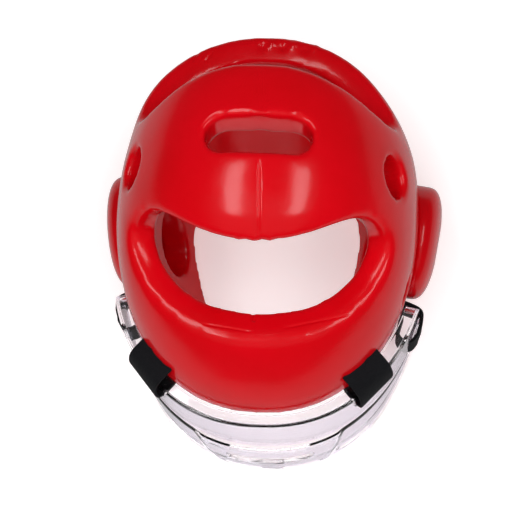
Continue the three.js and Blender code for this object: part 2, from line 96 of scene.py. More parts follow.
INNER_RIM, REAR_RIM = 0.7, 0.35
RIM_SOFTNESS = 90
RIM_REACH, RIM_FADE = 0.009, 0.0144
REAR_SLIP, REAR_SLIP_START, REAR_SLIP_END = -0.0045, 0.030, 0.090


def section_at(row):
    """Height, width, front and back shares of the shell at rows of its table."""
    row = np.asarray(row, float)
    index = np.clip(row.astype(int), 0, len(SECTIONS) - 2)
    share = (row - index)[:, None]
    start, end = SECTIONS[index], SECTIONS[index + 1]
    mirrored = SECTIONS[1] * (1, -1, -1, -1)
    before = np.where((index == 0)[:, None], mirrored, SECTIONS[np.maximum(index - 1, 0)])
    after = SECTIONS[np.minimum(index + 2, len(SECTIONS) - 1)]
    bend = 2 * before - 5 * start + 4 * end - after
    twist = 3 * (start - end) + after - before
    return 0.5 * (2 * start + share * (end - before + share * (bend + share * twist)))


def squared(value, power):
    return np.sign(value) * np.abs(value) ** (2 / power)


def smoothstep(value, low, high):
    share = np.clip((value - low) / (high - low), 0, 1)
    return share * share * (3 - 2 * share)


def skin(row, angle, depth=0.0):
    """Points of the shell's skin as it is worn, or below it by a depth."""
    def surface(row, angle):
        height, wide, front, back = section_at(row).T
        along = squared(-np.cos(angle), PLAN_POWER)
        reach = np.where(along < 0, FRONT * front, BACK * back)
        across = HALF_WIDTH * wide * squared(np.sin(angle), PLAN_POWER)
        return np.stack([across, reach * along, TOP * height], axis=1)
    step = 0.01
    down = surface(row + step, angle) - surface(row - step, angle)
    across = surface(row, angle + step) - surface(row, angle - step)
    normal = np.cross(across, down)
    normal /= np.linalg.norm(normal, axis=1)[:, None]
    return surface(row, angle) + normal * depth


def rings_tree(points, rows, sides):
    """A surface of closed rings, to draw points onto it."""
    faces = []
    for i in range(rows - 1):
        for j in range(sides):
            k = (j + 1) % sides
            faces.append((i * sides + j, i * sides + k, (i + 1) * sides + k, (i + 1) * sides + j))
    return BVHTree.FromPolygons([Vector(p) for p in points], faces)


def skin_tree(depth):
    """A fine model of the smooth skin."""
    rows, sides = 260, 480
    row = np.repeat(np.linspace(0.02, len(SECTIONS) - 1.02, rows), sides)
    angle = np.tile(np.linspace(0, 2 * math.pi, sides, endpoint=False), rows)
    return rings_tree(skin(row, angle, depth), rows, sides)


def only(piece):
    """Nothing but this piece is selected."""
    if bpy.context.mode != "OBJECT":
        bpy.ops.object.mode_set(mode="OBJECT")
    bpy.ops.object.select_all(action="DESELECT")
    piece.select_set(True)
    bpy.context.view_layer.objects.active = piece


def apply_modifier(piece, kind, **settings):
    only(piece)
    bpy.ops.object.modifier_add(type=kind)
    modifier = piece.modifiers[-1]
    for name, value in settings.items():
        setattr(modifier, name, value)
    bpy.ops.object.modifier_apply(modifier=modifier.name)


def foam_copy(node, name, grain, rounding):
    """The solid of a foam piece, closed into one fine skin with rounded rims."""
    piece = bpy.data.objects.new(name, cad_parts[node].data.copy())
    bpy.context.collection.objects.link(piece)
    only(piece)
    bpy.ops.object.mode_set(mode="EDIT")
    bpy.ops.mesh.select_all(action="SELECT")
    bpy.ops.mesh.remove_doubles(threshold=1e-5)
    bpy.ops.object.mode_set(mode="OBJECT")
    apply_modifier(piece, "REMESH", mode="VOXEL", voxel_size=grain)
    apply_modifier(piece, "SMOOTH", factor=0.5, iterations=rounding)
    return piece


def points_of(piece):
    flat = np.empty(3 * len(piece.data.vertices))
    piece.data.vertices.foreach_get("co", flat)
    return flat.reshape(-1, 3)


def normals_of(piece):
    flat = np.empty(3 * len(piece.data.vertices))
    piece.data.vertex_normals.foreach_get("vector", flat)
    return flat.reshape(-1, 3)


def move_points(piece, points):
    piece.data.vertices.foreach_set("co", points.ravel())
    piece.data.update()


def turned(points, matrix):
    """Points moved by a matrix, or directions turned by one of three rows."""
    matrix = np.array(matrix.to_4x4())
    return points @ matrix[:3, :3].T + matrix[:3, 3]


FACING_LOW, FACING_FULL = 0.90, 0.98


def draw_to_skin(points, normals, tree, near, far):
    """Draws points that lie close to the skin and face as it does onto it."""
    for index, point in enumerate(points):
        place, facing, _, distance = tree.find_nearest(Vector(point), far)
        if place is None:
            continue
        share = min(max((far - distance) / (far - near), 0), 1)
        agreement = abs(facing.dot(normals[index])) - FACING_LOW
        share *= min(max(agreement / (FACING_FULL - FACING_LOW), 0), 1)
        points[index] += (np.array(place) - point) * share


def depth_below(points, tree, limit):
    found = [tree.find_nearest(Vector(point), limit)[3] for point in points]
    return np.array([limit if depth is None else depth for depth in found])


def outwards(turn, lift):
    turn, lift = np.radians(turn), np.radians(lift)
    return np.stack([np.sin(turn) * np.cos(lift), -np.cos(turn) * np.cos(lift), np.sin(lift)], axis=-1)


def opening_outline(shape):
    """Directions round the edge of an opening, from the point that its walls spread from."""
    angle = np.linspace(0, 2 * math.pi, 360, endpoint=False)
    power = np.where(np.sin(angle) < 0, *shape["powers"])
    rise = squared(np.sin(angle), power)
    reach = np.where(rise < 0, shape["widest"] - shape["low"], shape["high"] - shape["widest"])
    turn = shape["turn"] + shape["span"] * squared(np.cos(angle), power)
    return outwards(turn, shape["widest"] + rise * reach)


def near_opening(points, shape):
    """One at an opening's wall, and falling to nothing away from it."""
    ways = points - OPENING_CENTRE
    reaches = np.linalg.norm(ways, axis=1)
    nearest = (ways / reaches[:, None] @ opening_outline(shape).T).max(axis=1)
    distance = reaches * np.arccos(np.clip(nearest, -1, 1))
    return 1 - smoothstep(distance, RIM_REACH, RIM_FADE)


def soften(piece, weight, rounds):
    """Smooths the skin further where the weight is high."""
    group = piece.vertex_groups.new(name="soft")
    steps = 10
    level = np.round(weight * steps).astype(int)
    for step in range(1, steps + 1):
        group.add(np.flatnonzero(level == step).tolist(), step / steps, "REPLACE")
    apply_modifier(piece, "SMOOTH", factor=0.5, iterations=rounds, vertex_group="soft")
    piece.vertex_groups.remove(piece.vertex_groups["soft"])


shell = foam_copy("head_shell", "head_shell_foam", SHELL_GRAIN, SHELL_ROUNDING)
outer_skin = skin_tree(0.0)
worn = turned(points_of(shell), rest_to_worn)
facing = turned(normals_of(shell), rest_to_worn.to_3x3())
draw_to_skin(worn, facing, outer_skin, SKIN_NEAR, SKIN_FAR)
draw_to_skin(worn, facing, skin_tree(FOAM), SKIN_NEAR, SKIN_FAR)
move_points(shell, turned(worn, worn_to_rest))
deep = smoothstep(depth_below(worn, outer_skin, 1.5 * FOAM), RIM_REACH, RIM_FADE)
front_rim = near_opening(worn, FRONT_OPENING) * (1 - (1 - INNER_RIM) * deep)
rear_rim = near_opening(worn, REAR_OPENING) * REAR_RIM
soften(shell, np.maximum(front_rim, rear_rim), RIM_SOFTNESS)
worn = turned(points_of(shell), rest_to_worn)
worn[:, 0] += REAR_SLIP * smoothstep(worn[:, 1], REAR_SLIP_START, REAR_SLIP_END)
move_points(shell, turned(worn, worn_to_rest))
apply_modifier(shell, "SMOOTH", factor=0.5, iterations=SHELL_POLISH)
only(shell)
bpy.ops.object.shade_smooth()

# Lines pressed into the skin by the mould's seam and by the foam's folds: ends in pixels of the view,
# width and depth in metres
SKIN_LINES = [
    ((259, 160), (259, 238), 0.0008, 0.0006), ((262, 62), (262, 112), 0.0008, 0.0003),
    ((203, 324), (252, 332), 0.0008, 0.0004), ((284, 328), (350, 315), 0.0008, 0.0004),
    ((252, 306), (254, 322), 0.0012, 0.0009), ((192, 62), (199, 51), 0.0010, 0.0004),
    ((199, 61), (206, 50), 0.0010, 0.0004), ((205, 62), (213, 51), 0.0010, 0.0004),
]
# Small lumps where the dip has gathered: place in pixels, reach and height in metres
SKIN_LUMPS = [
    ((238, 239), 0.0022, 0.0005), ((246, 241), 0.0020, -0.0005), ((254, 238), 0.0022, 0.0006),
    ((262, 241), 0.0020, -0.0006), ((270, 239), 0.0022, 0.0006), ((279, 240), 0.0020, -0.0004),
    ((262, 46), 0.0030, -0.0010), ((272, 44), 0.0026, 0.0010), ((283, 47), 0.0030, -0.0010),
    ((294, 45), 0.0028, 0.0009), ((306, 49), 0.0030, -0.0009), ((316, 48), 0.0026, 0.0007),
]
LINE_FINENESS = 2
LINE_MARGIN, LUMP_MARGIN = 4, 2
FACES_VIEW = 0.1
CLEAR_OF_SKIN = 0.0015
PIXEL = VIEW_DISTANCE / (VIEW_PIXELS * lens.lens / lens.sensor_width)
to_view = camera.matrix_world.inverted()
eye_place = camera.matrix_world.translation


def view_places(points):
    """Pixels of the view at which points at rest are seen."""
    seen = turned(points, to_view)
    scale = VIEW_PIXELS * lens.lens / lens.sensor_width / -seen[:, 2]
    return np.stack([VIEW_PIXELS / 2 + seen[:, 0] * scale, VIEW_PIXELS / 2 - seen[:, 1] * scale], axis=1)


def off_line(places, start, end):
    """Pixels from a line between two places, and how far along it."""
    start, along = np.array(start, float), np.subtract(end, start, dtype=float)
    share = (places - start) @ along / (along @ along)
    return np.linalg.norm(places - start - np.clip(share, 0, 1)[:, None] * along, axis=1), share


def shows(piece, points, normals, chosen):
    """Which of the chosen points nothing hides from the view."""
    tree = BVHTree.FromObject(piece, bpy.context.evaluated_depsgraph_get())
    clear = []
    for index in chosen:
        start = Vector(points[index] + normals[index] * CLEAR_OF_SKIN)
        way = eye_place - start
        clear.append(tree.ray_cast(start, way.normalized(), way.length)[0] is None)
    return chosen[np.array(clear, bool)]


places = view_places(points_of(shell))
fine = np.zeros(len(places), bool)
for start, end, width, _ in SKIN_LINES:
    fine |= off_line(places, start, end)[0] < LINE_MARGIN * width / PIXEL
for place, reach, _ in SKIN_LUMPS:
    fine |= np.linalg.norm(places - place, axis=1) < LUMP_MARGIN * reach / PIXEL
fine &= turned(normals_of(shell), to_view.to_3x3())[:, 2] > FACES_VIEW
only(shell)
shell.data.vertices.foreach_set("select", np.zeros(len(places), bool))
corners = np.empty(len(shell.data.loops), int)
shell.data.loops.foreach_get("vertex_index", corners)
firsts = np.empty(len(shell.data.polygons), int)
shell.data.polygons.foreach_get("loop_start", firsts)
picked = np.logical_and.reduceat(fine[corners], firsts)
shell.data.polygons.foreach_set("select", picked)
shell.data.edges.foreach_set("select", np.zeros(len(shell.data.edges), bool))
bpy.ops.object.mode_set(mode="EDIT")
bpy.ops.mesh.select_mode(type="FACE")
bpy.ops.mesh.subdivide(number_cuts=LINE_FINENESS)
bpy.ops.object.mode_set(mode="OBJECT")

points, normals = points_of(shell), normals_of(shell)
places = view_places(points)
for start, end, width, depth in SKIN_LINES:
    away, share = off_line(places, start, end)
    near = shows(shell, points, normals, np.flatnonzero(away < 3 * width / PIXEL))
    fade = smoothstep(share[near], -0.05, 0.15) * (1 - smoothstep(share[near], 0.85, 1.05))
    press = depth * fade * np.exp(-(away[near] * PIXEL / width) ** 2)
    points[near] -= normals[near] * press[:, None]
for place, reach, height in SKIN_LUMPS:
    away = np.linalg.norm(places - place, axis=1) * PIXEL
    near = shows(shell, points, normals, np.flatnonzero(away < 2.5 * reach))
    points[near] += normals[near] * (height * np.exp(-(away[near] / reach) ** 2))[:, None]
move_points(shell, points)


class Wiring:
    """Puts nodes into a material's or a group's tree and joins them."""

    def __init__(self, tree):
        self.tree = tree

    def node(self, kind, inputs=(), **settings):
        made = self.tree.nodes.new(kind)
        for name, value in settings.items():
            setattr(made, name, value)
        for name, value in dict(inputs).items():
            socket = made.inputs[name]
            if isinstance(value, bpy.types.NodeSocket):
                self.tree.links.new(value, socket)
            else:
                socket.default_value = value
        return made

    def ramp(self, factor, stops):
        made = self.node("ShaderNodeValToRGB", {"Fac": factor})
        points = made.color_ramp.elements
        for index, (place, colour) in enumerate(stops):
            point = points[index] if index < 2 else points.new(place)
            point.position, point.color = place, (*colour, 1)
        return made.outputs["Color"]

    def remap(self, value, low, high, to_low, to_high):
        made = self.node("ShaderNodeMapRange", {
            "Value": value, "From Min": low, "From Max": high, "To Min": to_low, "To Max": to_high,
        })
        return made.outputs["Result"]

    def sum(self, a, b, operation="ADD"):
        made = self.node("ShaderNodeMath", {0: a, 1: b}, operation=operation)
        return made.outputs["Value"]


def new_material(name):
    material = bpy.data.materials.new(name)
    material.use_nodes = True
    material.node_tree.nodes.clear()
    wiring = Wiring(material.node_tree)
    shader = wiring.node("ShaderNodeBsdfPrincipled")
    output = wiring.node("ShaderNodeOutputMaterial")
    material.node_tree.links.new(shader.outputs["BSDF"], output.inputs["Surface"])
    return material, wiring, shader


def effect_group(name, inputs, outputs):
    """An empty effect with named inputs and outputs that several materials can use."""
    group = bpy.data.node_groups.new(name, "ShaderNodeTree")
    for socket, value in inputs.items():
        made = group.interface.new_socket(name=socket, in_out="INPUT", socket_type="NodeSocketFloat")
        made.default_value = value
    for socket, kind in outputs.items():
        group.interface.new_socket(name=socket, in_out="OUTPUT", socket_type=kind)
    wiring = Wiring(group)
    return group, wiring, wiring.node("NodeGroupInput"), wiring.node("NodeGroupOutput")


# Skin unevenness: broad cloudy patches, and fine specks and scuffs that dull the gloss
unevenness, inside, given, result = effect_group(
    "surface_unevenness", {"Patch Size": 30.0, "Speck Size": 900.0},
    {"Patches": "NodeSocketFloat", "Specks": "NodeSocketFloat"},
)
place = inside.node("ShaderNodeTexCoord").outputs["Object"]
patches = inside.node("ShaderNodeTexNoise", {
    "Vector": place, "Scale": given.outputs["Patch Size"], "Detail": 3.0, "Roughness": 0.5,
})
specks = inside.node("ShaderNodeTexNoise", {
    "Vector": place, "Scale": given.outputs["Speck Size"], "Detail": 2.0, "Roughness": 0.6,
})
unevenness.links.new(patches.outputs["Fac"], result.inputs["Patches"])
unevenness.links.new(specks.outputs["Fac"], result.inputs["Specks"])

red_skin, wiring, shader = new_material("red_dipped_skin")
uneven = wiring.node("ShaderNodeGroup", {"Patch Size": 26.0, "Speck Size": 700.0}, node_tree=unevenness)
red = wiring.ramp(uneven.outputs["Patches"], [(0.3, (0.56, 0.001, 0.004)), (0.7, (0.62, 0.001, 0.006))])
gloss = wiring.remap(uneven.outputs["Specks"], 0.35, 0.75, 0.15, 0.23)
place = wiring.node("ShaderNodeTexCoord").outputs["Object"]
waves = wiring.node("ShaderNodeTexNoise", {"Vector": place, "Scale": 45.0, "Detail": 1.0})
grain = wiring.node("ShaderNodeTexNoise", {"Vector": place, "Scale": 520.0, "Detail": 2.0})
broad = wiring.node("ShaderNodeBump", {
    "Height": waves.outputs["Fac"], "Strength": 0.4, "Distance": 0.0010,
})
fine = wiring.node("ShaderNodeBump", {
    "Height": grain.outputs["Fac"], "Strength": 0.08, "Distance": 0.00012, "Normal": broad.outputs["Normal"],
})
for socket, value in {"Base Color": red, "Roughness": gloss, "Normal": fine.outputs["Normal"]}.items():
    red_skin.node_tree.links.new(value, shader.inputs[socket])
shader.inputs["Specular IOR Level"].default_value = 0.22
shader.inputs["Coat Weight"].default_value = 0.12
shader.inputs["Coat Roughness"].default_value = 0.10

shell.data.materials.clear()
shell.data.materials.append(red_skin)
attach(shell, "root")
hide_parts("head_shell")


# The ear guards: domed foam cups over the ears, dipped in the same red skin and bedded on the shell,
# each with a round hole to hear through.
EAR_GRAIN = 0.0014
EAR_ROUNDING, EAR_POLISH = 14, 4
CUP_NEAR, CUP_FAR = 0.0008, 0.0018
GUARD_MIDDLE = np.array((0, 0.005, -0.010))
GUARD_LENGTH, GUARD_HEIGHT = 0.082, 0.076
GUARD_TOE_IN = math.radians(8)
GUARD_PROUD, GUARD_DOME, GUARD_POWER, GUARD_FOOT = 0.017, 0.014, 2.6, 0.030


def guard_tree(sign):
    """A fine model of the smooth outside of an ear guard."""
    rows, sides = 90, 240
    rise = np.linspace(0, math.pi / 2, rows - 1)
    radius = np.insert(squared(np.cos(rise), GUARD_POWER), 0, 1.0) * GUARD_LENGTH / 2
    face = HALF_WIDTH + GUARD_PROUD
    reach = face - GUARD_DOME * (1 - squared(np.sin(rise), GUARD_POWER))
    reach = np.insert(reach, 0, face - GUARD_FOOT)
    angle = np.tile(np.linspace(0, 2 * math.pi, sides, endpoint=False), rows)
    radius, reach = np.repeat(radius, sides), np.repeat(reach, sides)
    x, y = sign * (reach - HALF_WIDTH), radius * np.sin(angle)
    z = radius * np.cos(angle) * GUARD_HEIGHT / GUARD_LENGTH
    toe = -sign * GUARD_TOE_IN
    across = x * math.cos(toe) - y * math.sin(toe) + sign * HALF_WIDTH
    points = np.stack([across, x * math.sin(toe) + y * math.cos(toe), z], axis=1) + GUARD_MIDDLE
    return rings_tree(points, rows, sides)


for side, sign in {"left": 1, "right": -1}.items():
    cup = foam_copy(f"ear_guard_{side}", f"ear_guard_{side}_foam", EAR_GRAIN, EAR_ROUNDING)
    worn = turned(points_of(cup), rest_to_worn)
    facing = turned(normals_of(cup), rest_to_worn.to_3x3())
    draw_to_skin(worn, facing, guard_tree(sign), CUP_NEAR, CUP_FAR)
    move_points(cup, turned(worn, worn_to_rest))
    apply_modifier(cup, "SMOOTH", factor=0.5, iterations=EAR_POLISH)
    only(cup)
    bpy.ops.object.shade_smooth()
    cup.data.materials.clear()
    cup.data.materials.append(red_skin)
    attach(cup, "root")
    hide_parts(f"ear_guard_{side}")


# The face mask: one sheet of clear plastic moulded round the forehead, with a lip that meets the foam,
# a step below it, a raised panel in front with the mouth slot, and a slotted flange along the bottom.
WALL = 0.0026
MASK_GAP = 0.0006
MASK_REACH = 0.143
STAND_OFF, REAR_STAND_OFF = 0.0085, 0.010
LIP, REAR_LIP = 0.020, 0.014
CREASE, CREASE_STEP = -0.030, 0.0025
DRAFT, BULGE, FLANGE = 0.0015, 0.0012, 0.004
REAR_DROP = 0.046
FLAT_REACH, SIDE_REACH, SIDE_SPREAD = 0.070, 0.115, 0.15
BROW = 0.020
NAPE_DROP, NAPE_REACH = 0.050, 0.088
REAR_ROUND, REAR_POWER = 0.016, 2.6
MIDDLE_SHIFT = 0.005
PANEL_HALF, PANEL_TAPER, PANEL_PROUD, PANEL_EDGE = 0.047, 0.010, 0.0016, 0.003
# The panel's upper and lower edge, as shares of the way down the wall
PANEL_TOP, PANEL_FOOT = (0.46, 0.54), (0.78, 0.84)

trial_rows = np.linspace(0, 10.9, 2000)
brow_row = np.interp(-BROW, -TOP * section_at(trial_rows)[:, 0], trial_rows)
brow_turn = np.linspace(0, math.pi, 721)
brow_line = skin(np.full(721, brow_row), brow_turn)[:, :2]
brow_arc = np.concatenate([[0], np.cumsum(np.linalg.norm(np.diff(brow_line, axis=0), axis=1))])


def brow_place(arc, offset):
    """Points in plan at a length round the brow from its middle, and at an offset out from the skin."""
    reach = np.abs(arc)
    turn = np.interp(reach, brow_arc, brow_turn) * np.sign(arc)
    rows = np.full(len(turn), brow_row)
    ahead = skin(rows, turn + 0.02)[:, :2] - skin(rows, turn - 0.02)[:, :2]
    ahead /= np.linalg.norm(ahead, axis=1)[:, None]
    away = np.stack([ahead[:, 1], -ahead[:, 0]], axis=1)
    return skin(rows, turn)[:, :2] + away * offset[:, None]


def stand_height(y):
    return -NAPE_DROP - (NAPE_REACH - y) * math.tan(REST_TILT)


def mask_corners(arc):
    """Corners of the mask's outer face from the lip to the flange, at lengths round the brow."""
    reach = np.abs(arc)
    rise = smoothstep(reach, FLAT_REACH, MASK_REACH)
    spread = 1 + (SIDE_SPREAD - 1) * smoothstep(reach, 0, SIDE_REACH)
    wall = STAND_OFF + (REAR_STAND_OFF - STAND_OFF) * smoothstep(reach, 0, MASK_REACH)
    top = LIP + (REAR_LIP - LIP) * rise
    fold = wall + DRAFT * spread
    foot = fold + CREASE_STEP * spread
    flange = foot + FLANGE * spread

    def base(offset):
        stand = stand_height(brow_place(arc, offset)[:, 1])
        return stand + (-REAR_DROP - stand) * rise

    half = CREASE_STEP / 2
    middle = (CREASE + base(foot)) / 2
    corners = [
        (MASK_GAP, top), (wall, top), (fold, CREASE + half), (foot, CREASE - half),
        (foot + BULGE * spread, middle), (foot, base(foot) + WALL), (flange, base(flange) + WALL),
    ]
    every = np.ones(len(arc))
    return np.array([[offset * every, height * every] for offset, height in corners])


def along_profile(corners, share):
    """Points at shares of the way down a profile of corners, each point with its own profile."""
    steps = len(corners) - 1
    place = np.clip(share, 0, 1) * steps
    index = np.minimum(place.astype(int), steps - 1)
    part = place - index
    column = np.arange(len(share))
    start, end = corners[index, :, column], corners[index + 1, :, column]
    return start + (end - start) * part[:, None]


bpy.ops.object.select_all(action="DESELECT")
bpy.ops.mesh.primitive_grid_add(x_subdivisions=220, y_subdivisions=60, size=1, location=(0, 0, 0))
mask = bpy.context.active_object
mask.name = "face_mask_clear"
grid = points_of(mask)
arc = grid[:, 0] * 2 * MASK_REACH
share = 0.5 - grid[:, 1]
profile = along_profile(mask_corners(arc), share)
below_step = smoothstep(share, *PANEL_TOP) * (1 - smoothstep(share, *PANEL_FOOT))
panel_half = PANEL_HALF - PANEL_TAPER * smoothstep(share, 0.5, PANEL_FOOT[1])
panel = 1 - smoothstep(np.abs(arc - MIDDLE_SHIFT), panel_half - PANEL_EDGE, panel_half + PANEL_EDGE)
profile[:, 0] += PANEL_PROUD * panel * below_step
plan = brow_place(arc, profile[:, 0])
heights = profile[:, 1]
rear = np.clip((np.abs(arc) - (MASK_REACH - REAR_ROUND)) / REAR_ROUND, 0, 0.985)
centre = (REAR_LIP - REAR_DROP) / 2
heights = centre + (heights - centre) * (1 - rear ** REAR_POWER) ** (1 / REAR_POWER)
worn = np.column_stack([plan, heights])
move_points(mask, turned(worn, worn_to_rest))
only(mask)
bpy.ops.object.mode_set(mode="EDIT")
bpy.ops.mesh.select_all(action="SELECT")
bpy.ops.mesh.normals_make_consistent(inside=False)
bpy.ops.object.mode_set(mode="OBJECT")
apply_modifier(mask, "SMOOTH", factor=0.5, iterations=1)
apply_modifier(mask, "SOLIDIFY", thickness=WALL, offset=-1.0, use_even_offset=True)

MOUTH_LENGTH, MOUTH_HEIGHT, MOUTH_DROP = 0.062, 0.012, 0.054
FLANGE_SLOTS, SLOT_LENGTH, SLOT_RIB, SLOT_HEIGHT, SLOT_LIFT = 4, 0.028, 0.010, 0.010, 0.014
STRAP_SLOT = 0.005
FRONT_STRAP_REACH, FRONT_STRAP_WIDTH, FRONT_SLOT_LEVEL = 0.078, 0.030, 0.006
SIDE_SLOT_REACH, SIDE_STRAP_WIDTH, SIDE_STRAP_LEVEL = 0.122, 0.024, -0.025
STRAP_SLACK = 0.0025


def brow_basis(arc):
    """Turns from a slot's own length, height and depth to its place on the mask."""
    here, out = brow_place(np.array([arc, arc]), np.array([0.0, 0.01]))
    away = Vector((*(out - here), 0)).normalized()
    upwards = Vector((0, 0, 1))
    turn = Matrix((upwards.cross(away), upwards, away)).transposed().to_4x4()
    return worn_to_rest @ Matrix.Translation((*here, 0)) @ turn


def cut_slot(piece, arc, length, height, level):
    """A slot with round ends, cut straight through the wall."""
    bpy.ops.object.select_all(action="DESELECT")
    bpy.ops.mesh.primitive_cube_add(size=1, location=(0, 0, 0))
    cutter = bpy.context.active_object
    cutter.data.transform(Matrix.Diagonal((length, height, 0.05, 1)))
    only(cutter)
    bpy.ops.object.mode_set(mode="EDIT")
    bpy.ops.mesh.select_all(action="DESELECT")
    bpy.ops.object.mode_set(mode="OBJECT")
    for edge in cutter.data.edges:
        ends = [cutter.data.vertices[i].co for i in edge.vertices]
        edge.select = abs(ends[0].z - ends[1].z) > 0.01
    bpy.ops.object.mode_set(mode="EDIT")
    bpy.ops.mesh.bevel(offset=min(length, height) * 0.49, segments=6)
    bpy.ops.object.mode_set(mode="OBJECT")
    cutter.data.transform(brow_basis(arc) @ Matrix.Translation((0, level, 0)))
    apply_modifier(piece, "BOOLEAN", operation="DIFFERENCE", object=cutter, solver="EXACT")
    bpy.data.objects.remove(cutter)


cut_slot(mask, MIDDLE_SHIFT, MOUTH_LENGTH, MOUTH_HEIGHT, -MOUTH_DROP)
for i in range(FLANGE_SLOTS):
    slot_arc = (SLOT_LENGTH + SLOT_RIB) * (i - (FLANGE_SLOTS - 1) / 2) + MIDDLE_SHIFT
    foot_y = brow_place(np.array([slot_arc]), np.array([STAND_OFF]))[0, 1]
    cut_slot(mask, slot_arc, SLOT_LENGTH, SLOT_HEIGHT, stand_height(foot_y) + SLOT_LIFT)
for sign in (1, -1):
    cut_slot(mask, sign * FRONT_STRAP_REACH, FRONT_STRAP_WIDTH + STRAP_SLACK, STRAP_SLOT, FRONT_SLOT_LEVEL)
    cut_slot(mask, sign * SIDE_SLOT_REACH, STRAP_SLOT, SIDE_STRAP_WIDTH + STRAP_SLACK, SIDE_STRAP_LEVEL)
apply_modifier(mask, "BEVEL", width=0.0006, segments=2, limit_method="ANGLE", angle_limit=math.radians(50))
only(mask)
bpy.ops.object.shade_smooth_by_angle(angle=math.radians(35))

clear, wiring, shader = new_material("clear_polycarbonate")
uneven = wiring.node("ShaderNodeGroup", {"Patch Size": 18.0, "Speck Size": 1200.0}, node_tree=unevenness)
polish = wiring.remap(uneven.outputs["Specks"], 0.3, 0.8, 0.02, 0.06)
swell = wiring.node("ShaderNodeBump", {
    "Height": uneven.outputs["Patches"], "Strength": 0.3, "Distance": 0.0006,
})
# The plastic's own pale tint face-on, darkening to lavender grey where the sheet is seen edge-on: that
# darkening is painted edge shade standing in for reflections.
slant = wiring.node("ShaderNodeLayerWeight", {"Blend": 0.45})
tint_and_edge_shade = wiring.ramp(slant.outputs["Facing"], [(0.35, (0.90, 0.875, 0.89)), (0.95, (0.66, 0.59, 0.80))])
for socket, value in {"Base Color": tint_and_edge_shade, "Roughness": polish, "Normal": swell.outputs["Normal"]}.items():
    clear.node_tree.links.new(value, shader.inputs[socket])
shader.inputs["Transmission Weight"].default_value = 1.0
shader.inputs["IOR"].default_value = 1.18
shader.inputs["Coat Weight"].default_value = 0.5
shader.inputs["Coat Roughness"].default_value = 0.03
mask.data.materials.clear()
mask.data.materials.append(clear)
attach(mask, "root")
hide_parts("face_mask")


# The straps: short lengths of black hook and loop tape. The front pair leaves slits in the forehead band,
# runs over the mask's lip and in through its slots; the side pair holds the mask's rear ends to the cheeks.
STRAP_THICKNESS, STRAP_GAP = 0.0022, 0.0003
STRAP_STEPS = 90
SLIT_LEVEL, SLIT_DEPTH = 0.040, 0.013
SIDE_SLIT_REACH = 0.150

strap_black, wiring, shader = new_material("black_loop_tape")
uneven = wiring.node("ShaderNodeGroup", {"Patch Size": 120.0, "Speck Size": 1900.0}, node_tree=unevenness)
black = wiring.ramp(uneven.outputs["Specks"], [(0.35, (0.002, 0.002, 0.003)), (0.75, (0.010, 0.010, 0.012))])
fluff = wiring.node("ShaderNodeBump", {
    "Height": uneven.outputs["Specks"], "Strength": 0.8, "Distance": 0.0004,
})
strap_black.node_tree.links.new(black, shader.inputs["Base Color"])
strap_black.node_tree.links.new(fluff.outputs["Normal"], shader.inputs["Normal"])
shader.inputs["Roughness"].default_value = 0.9
shader.inputs["Specular IOR Level"].default_value = 0.25


def smooth_path(corners, count):
    """Evenly spaced points on a smooth line through its corners."""
    corners = np.array(corners)
    steps = np.linspace(0, len(corners) - 1, 400)
    index = np.minimum(steps.astype(int), len(corners) - 2)
    part = (steps - index)[:, None]
    start, end = corners[index], corners[index + 1]
    before, after = corners[np.maximum(index - 1, 0)], corners[np.minimum(index + 2, len(corners) - 1)]
    bend = 2 * before - 5 * start + 4 * end - after
    twist = 3 * (start - end) + after - before
    line = 0.5 * (2 * start + part * (end - before + part * (bend + part * twist)))
    lengths = np.concatenate([[0], np.cumsum(np.linalg.norm(np.diff(line, axis=0), axis=1))])
    even = np.linspace(0, lengths[-1], count)
    return np.stack([np.interp(even, lengths, line[:, axis]) for axis in range(line.shape[1])], axis=1)


def strap(name, node, path, across, width):
    """A tape bent along a path of points as worn, its width in one straight direction."""
    steps = len(path) - 1
    bpy.ops.object.select_all(action="DESELECT")
    bpy.ops.mesh.primitive_grid_add(x_subdivisions=16, y_subdivisions=steps, size=1, location=(0, 0, 0))
    piece = bpy.context.active_object
    piece.name = name
    grid = points_of(piece)
    along = np.clip(np.round((grid[:, 1] + 0.5) * steps).astype(int), 0, steps)
    worn = path[along] + grid[:, :1] * width * np.array(across)
    move_points(piece, turned(worn, worn_to_rest))
    apply_modifier(piece, "SOLIDIFY", thickness=STRAP_THICKNESS, offset=0.0, use_even_offset=True)
    apply_modifier(
        piece, "BEVEL", width=0.0006, segments=3, limit_method="ANGLE", angle_limit=math.radians(60),
    )
    only(piece)
    bpy.ops.object.shade_smooth_by_angle(angle=math.radians(50))
    piece.data.materials.clear()
    piece.data.materials.append(strap_black)
    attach(piece, "root")
    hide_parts(node)


